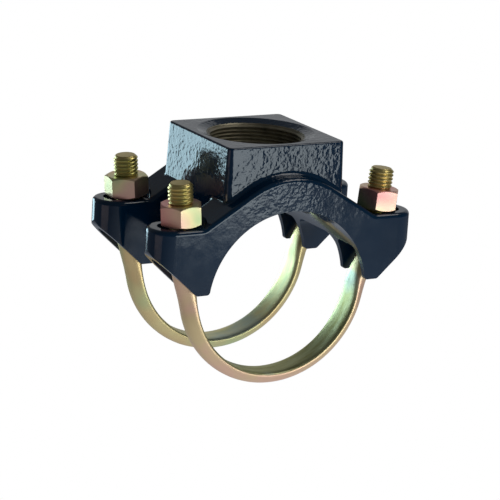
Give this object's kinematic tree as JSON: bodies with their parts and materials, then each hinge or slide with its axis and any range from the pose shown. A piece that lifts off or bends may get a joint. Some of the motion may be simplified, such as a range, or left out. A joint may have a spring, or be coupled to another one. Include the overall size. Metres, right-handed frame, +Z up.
{
  "type": "tapping saddle",
  "caption": "Coated cast-iron tapping saddle for a 110 mm pipe: half saddle with hollow ears, a square boss with a threaded outlet, and U-bolts with nuts under the pipe.",
  "frame": {"origin": "on the axis of the pipe, under the middle of the outlet", "axes": "+Z up through the outlet, Y along the pipe with -Y at the front, X across the pipe"},
  "size_m": [0.1808, 0.102, 0.1523],
  "materials": {
    "coated_iron": "glossy dark navy epoxy coating with a fine orange peel",
    "seal_rubber": "matt black moulded rubber",
    "zinc_steel": "yellow passivated zinc, satin, from pink-tan to olive",
    "nut_zinc": "yellow passivated zinc with a pink and green sheen"
  },
  "bodies": {
    "saddle": {"saddle_body": "coated_iron", "seal_ring": "seal_rubber"},
    "front_bolt": {"u_bolt_front": "zinc_steel"},
    "rear_bolt": {"u_bolt_rear": "zinc_steel"},
    "front_left_nut": {"nut_front_left": "nut_zinc"},
    "front_right_nut": {"nut_front_right": "nut_zinc"},
    "rear_left_nut": {"nut_rear_left": "nut_zinc"},
    "rear_right_nut": {"nut_rear_right": "nut_zinc"}
  },
  "joints": [
    {"name": "front_bolt_lift", "type": "slide", "parent": "saddle", "child": "front_bolt", "axis": [0, 0, 1], "range_m": [0, 0.012]},
    {"name": "rear_bolt_lift", "type": "slide", "parent": "saddle", "child": "rear_bolt", "axis": [0, 0, 1], "range_m": [0, 0.012]},
    {"name": "front_left_nut_turn", "type": "hinge", "parent": "front_bolt", "child": "front_left_nut", "pos_m": [-0.06852, -0.0366, 0.04902], "axis": [-0.0872, 0, 0.9962], "continuous": true},
    {"name": "front_right_nut_turn", "type": "hinge", "parent": "front_bolt", "child": "front_right_nut", "pos_m": [0.06852, -0.0366, 0.04902], "axis": [0.0872, 0, 0.9962], "continuous": true},
    {"name": "rear_left_nut_turn", "type": "hinge", "parent": "rear_bolt", "child": "rear_left_nut", "pos_m": [-0.06852, 0.0366, 0.04902], "axis": [-0.0872, 0, 0.9962], "continuous": true},
    {"name": "rear_right_nut_turn", "type": "hinge", "parent": "rear_bolt", "child": "rear_right_nut", "pos_m": [0.06852, 0.0366, 0.04902], "axis": [0.0872, 0, 0.9962], "continuous": true}
  ]
}
